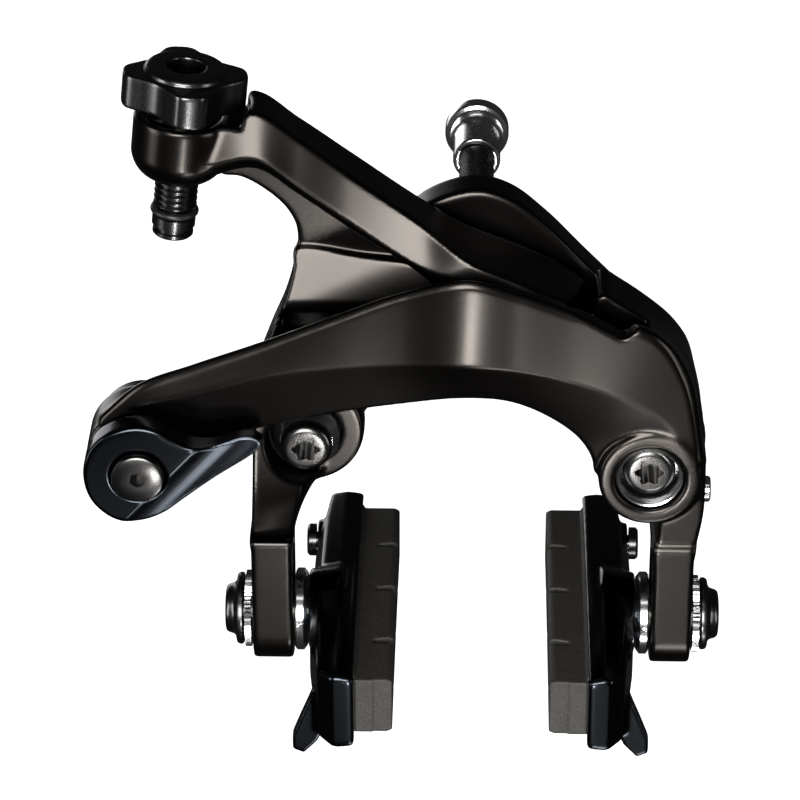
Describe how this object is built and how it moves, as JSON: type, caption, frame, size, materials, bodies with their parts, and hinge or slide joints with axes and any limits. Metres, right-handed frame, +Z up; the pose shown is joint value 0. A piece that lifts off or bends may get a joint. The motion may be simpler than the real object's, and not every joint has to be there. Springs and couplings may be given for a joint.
{
  "type": "rim brake caliper",
  "caption": "Dual-pivot rim brake caliper with linked side-pull arms, barrel adjuster, quick-release lever and cartridge shoes on slotted legs.",
  "frame": {"origin": "on the mounting bolt axis, in the plane of the fork face that the toothed washer bears on", "axes": "+Y along the mounting bolt towards the fork and its nut, +Z up away from the tyre, +X towards the cable arm leg"},
  "size_m": [0.1013, 0.1042, 0.1056],
  "materials": {
    "anodised": "black anodised forging, satin, warm tint",
    "black_steel": "black oxide, satin",
    "grey_steel": "turned steel",
    "silver": "bright turned metal",
    "gloss_black": "gloss blue-black",
    "pad_rubber": "matt compound, fine speckle",
    "seal_rubber": "matt",
    "nylon": "moulded nylon"
  },
  "bodies": {
    "mount": {"bridge": "anodised", "mounting_bolt": "black_steel", "fork_washer": "grey_steel", "sleeve_nut": "silver", "left_pivot_bolt": "grey_steel", "right_pivot_bolt": "grey_steel", "left_thrust_washer": "nylon", "right_thrust_washer": "nylon", "return_spring": "grey_steel"},
    "adjuster_arm": {"adjuster_arm": "anodised", "left_pivot_bush": "silver", "left_spring_seat": "nylon", "adjuster_wave_washer": "grey_steel"},
    "cable_arm": {"cable_arm": "anodised", "right_pivot_bush": "silver", "right_spring_seat": "nylon", "roller_pin": "grey_steel"},
    "link_roller": {"link_roller": "nylon"},
    "barrel": {"adjuster_barrel": "black_steel", "adjuster_o_ring": "seal_rubber"},
    "knob": {"adjuster_knob": "black_steel"},
    "quick_release": {"quick_release_lever": "gloss_black", "quick_release_screw": "grey_steel", "quick_release_shaft": "grey_steel", "cable_anchor_block": "black_steel", "cable_clamp_plate": "grey_steel", "cable_anchor_bolt": "grey_steel"},
    "centring_screw": {"centring_screw": "silver"},
    "left_stud": {"left_shoe_stud": "grey_steel", "left_inner_spacer": "silver", "left_outer_washer": "silver", "left_shoe_nut": "black_steel"},
    "left_shoe": {"left_shoe_holder": "gloss_black", "left_brake_pad": "pad_rubber", "left_pad_screw": "black_steel"},
    "right_stud": {"right_shoe_stud": "grey_steel", "right_inner_spacer": "silver", "right_outer_washer": "silver", "right_shoe_nut": "black_steel"},
    "right_shoe": {"right_shoe_holder": "gloss_black", "right_brake_pad": "pad_rubber", "right_pad_screw": "black_steel"}
  },
  "joints": [
    {"name": "adjuster_arm_pivot", "type": "hinge", "parent": "mount", "child": "adjuster_arm", "pos_m": [-0.0268, -0.014, -0.0234], "axis": [0, -1, 0], "range_deg": [0, 6], "stiffness_Nm_per_rad": 1.2, "springref_deg": -6.88},
    {"name": "cable_arm_pivot", "type": "hinge", "parent": "mount", "child": "cable_arm", "pos_m": [0.0278, -0.02, -0.0232], "axis": [0, 1, 0], "range_deg": [0, 6], "stiffness_Nm_per_rad": 1.2, "springref_deg": -6.88},
    {"name": "link_roller_spin", "type": "hinge", "parent": "cable_arm", "child": "link_roller", "pos_m": [0.0095, -0.022, -0.00482], "axis": [0, 1, 0], "continuous": true},
    {"name": "barrel_travel", "type": "slide", "parent": "adjuster_arm", "child": "barrel", "axis": [0.1028, 0, 0.9947], "range_m": [0, 0.004]},
    {"name": "knob_turn", "type": "hinge", "parent": "barrel", "child": "knob", "pos_m": [-0.0458, -0.015, 0.028], "axis": [0.1028, 0, 0.9947], "range_deg": [0, 1440]},
    {"name": "quick_release_turn", "type": "hinge", "parent": "cable_arm", "child": "quick_release", "pos_m": [-0.0526, -0.022, -0.022], "axis": [0, 1, 0], "range_deg": [0, 90]},
    {"name": "centring_screw_turn", "type": "hinge", "parent": "cable_arm", "child": "centring_screw", "pos_m": [0.036, -0.02, -0.03], "axis": [1, 0, 0], "continuous": true},
    {"name": "left_shoe_height", "type": "slide", "parent": "adjuster_arm", "child": "left_stud", "axis": [0, 0, 1], "range_m": [-0.0015, 0.008]},
    {"name": "left_shoe_tilt", "type": "hinge", "parent": "left_stud", "child": "left_shoe", "pos_m": [-0.025, -0.022, -0.0523], "axis": [1, 0, 0], "range_deg": [-10, 10]},
    {"name": "right_shoe_height", "type": "slide", "parent": "cable_arm", "child": "right_stud", "axis": [0, 0, 1], "range_m": [-0.0015, 0.008]},
    {"name": "right_shoe_tilt", "type": "hinge", "parent": "right_stud", "child": "right_shoe", "pos_m": [0.025, -0.022, -0.0523], "axis": [1, 0, 0], "range_deg": [-10, 10]}
  ],
  "couplings": [
    {"joint": "adjuster_arm_pivot", "follows": "cable_arm_pivot", "ratio": 1},
    {"joint": "barrel_travel", "follows": "knob_turn", "m_per_rad": 0.00015915}
  ]
}
